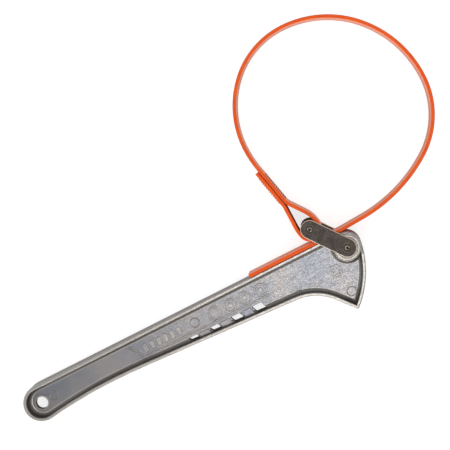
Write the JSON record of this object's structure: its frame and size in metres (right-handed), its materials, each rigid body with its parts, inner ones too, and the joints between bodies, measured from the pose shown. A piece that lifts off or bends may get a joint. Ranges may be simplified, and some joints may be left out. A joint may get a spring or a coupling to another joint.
{
  "type": "oil filter wrench",
  "caption": "Strap-type oil filter wrench: cast I-beam handle with a curved pressing toe, pivoting side-plate link and a looped belt strap.",
  "frame": {"origin": "centre of the hanging hole at mid-thickness", "axes": "+Z out of the bench the tool lies flat on, along the hanging hole and both rivets; +X along the handle's straight top edge towards the head; +Y from the handle towards the strap loop"},
  "size_m": [0.4083, 0.2278, 0.0332],
  "materials": {
    "cast_aluminium": "die cast, tumbled, satin with bright worn rims",
    "dark_steel": "blackened, tumbled, bright chamfers",
    "rivet_steel": "staked ends, plain",
    "sleeve_steel": "turned, oiled",
    "belt_strap": "orange belt, woven grip face",
    "sewing_thread": "waxed thread"
  },
  "bodies": {
    "handle_body": {"handle": "cast_aluminium"},
    "link": {"link_plate_front": "dark_steel", "link_plate_rear": "dark_steel", "pivot_rivet": "rivet_steel", "pivot_sleeve": "sleeve_steel", "strap_rivet": "rivet_steel", "strap_sleeve": "sleeve_steel"},
    "strap": {"strap_eye": "belt_strap", "strap_loop": "belt_strap", "stitching": "sewing_thread"},
    "tail": {"strap_tail": "belt_strap"}
  },
  "joints": [
    {"name": "link_pivot", "type": "hinge", "parent": "handle_body", "child": "link", "pos_m": [0.2795, 0.0023, 0], "axis": [0, 0, -1], "range_deg": [0, 75]},
    {"name": "strap_swing", "type": "hinge", "parent": "link", "child": "strap", "pos_m": [0.25937, 0.0287, 0], "axis": [0, 0, 1], "range_deg": [0, 12]},
    {"name": "strap_feed", "type": "slide", "parent": "handle_body", "child": "tail", "axis": [-1, 0, 0], "range_m": [0, 0.09], "deforming": ["strap_loop"]}
  ]
}
